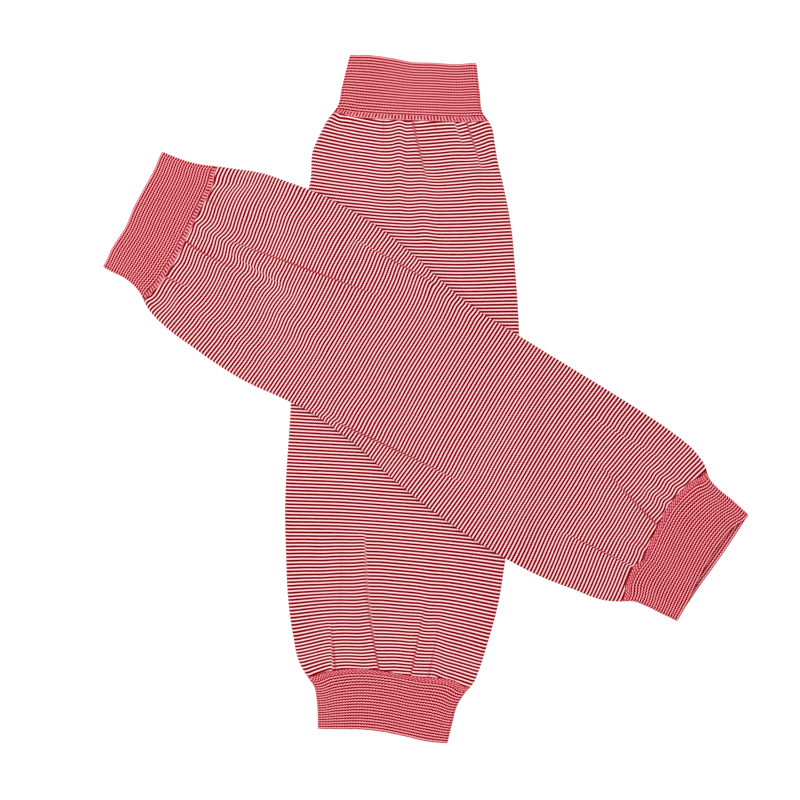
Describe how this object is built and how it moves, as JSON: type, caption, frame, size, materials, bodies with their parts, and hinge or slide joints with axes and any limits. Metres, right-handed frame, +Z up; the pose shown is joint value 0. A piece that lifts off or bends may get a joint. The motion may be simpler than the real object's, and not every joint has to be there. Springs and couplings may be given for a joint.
{
  "type": "pair of knitted arm sleeves",
  "caption": "Flat knitted arm sleeves with fine red and white stripes and ribbed cuffs, one laid across the other.",
  "frame": {"origin": "middle of the pair's outline, on the surface that it lies on", "axes": "+Y along the pair's longest reach, nearly along the lower sleeve, towards its start cuff; +Z up from the surface"},
  "size_m": [0.4081, 0.435, 0.0081],
  "materials": {
    "striped_knit": "plain knit in fine red and white stripes, matt",
    "ribbed_cuff": "one by one rib, redder and denser than the body, matt",
    "ladder_band": "pale band of upright bars where the rib changes to plain knit",
    "dense_band": "narrow dense red band where the plain knit meets the rib"
  },
  "bodies": {
    "root": {"under_start_cuff": "ribbed_cuff", "under_ladder_band": "ladder_band", "under_body": "striped_knit", "under_dense_band": "dense_band", "under_finish_cuff": "ribbed_cuff", "over_start_cuff": "ribbed_cuff", "over_ladder_band": "ladder_band", "over_body": "striped_knit", "over_dense_band": "dense_band", "over_finish_cuff": "ribbed_cuff"}
  },
  "joints": []
}
